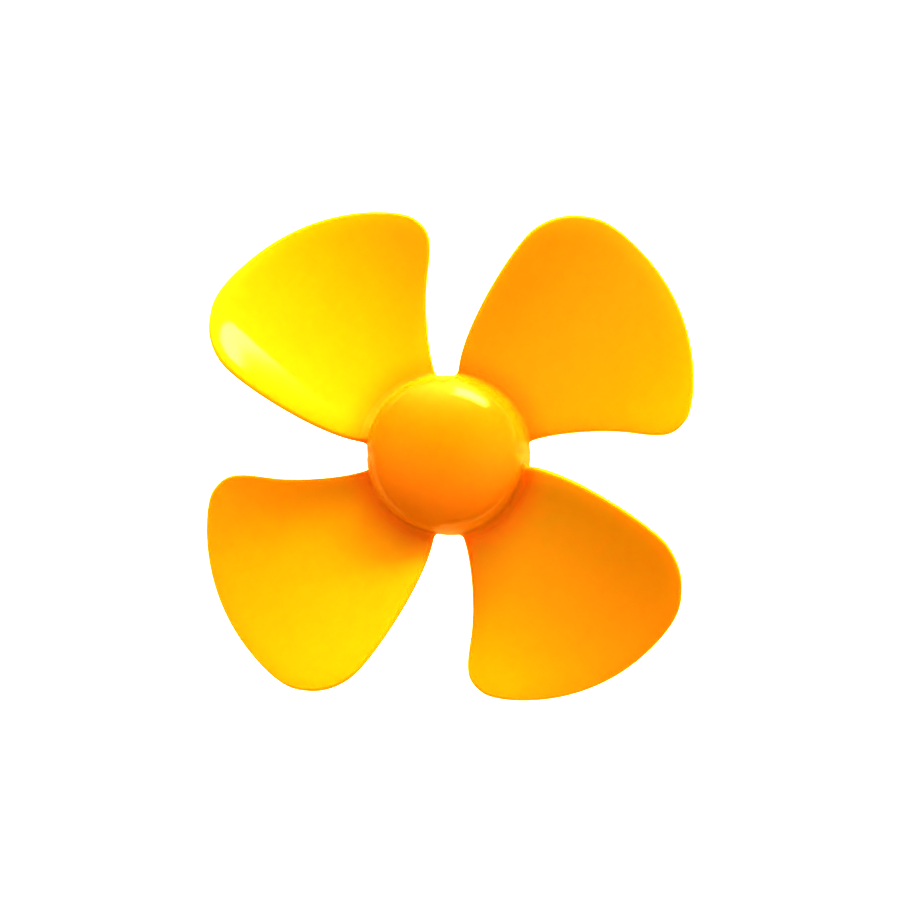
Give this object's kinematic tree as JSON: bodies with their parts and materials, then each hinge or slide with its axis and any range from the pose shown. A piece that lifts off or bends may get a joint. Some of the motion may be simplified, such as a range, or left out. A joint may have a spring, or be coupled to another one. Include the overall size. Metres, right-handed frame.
{
  "type": "fan propeller",
  "caption": "One-piece moulded fan propeller: broad pitched blades on a domed hub cap that presses on a thin motor shaft.",
  "frame": {"origin": "centre of the hub's rear rim, on the plane that the propeller rests on", "axes": "+Z along the shaft, from the open back of the hub to its domed front; X and Y run through the gaps between the blades"},
  "size_m": [0.0654, 0.0654, 0.0145],
  "materials": {
    "plastic": "glossy orange-yellow moulding, slightly translucent"
  },
  "bodies": {
    "root": {"propeller": "plastic"}
  },
  "joints": []
}
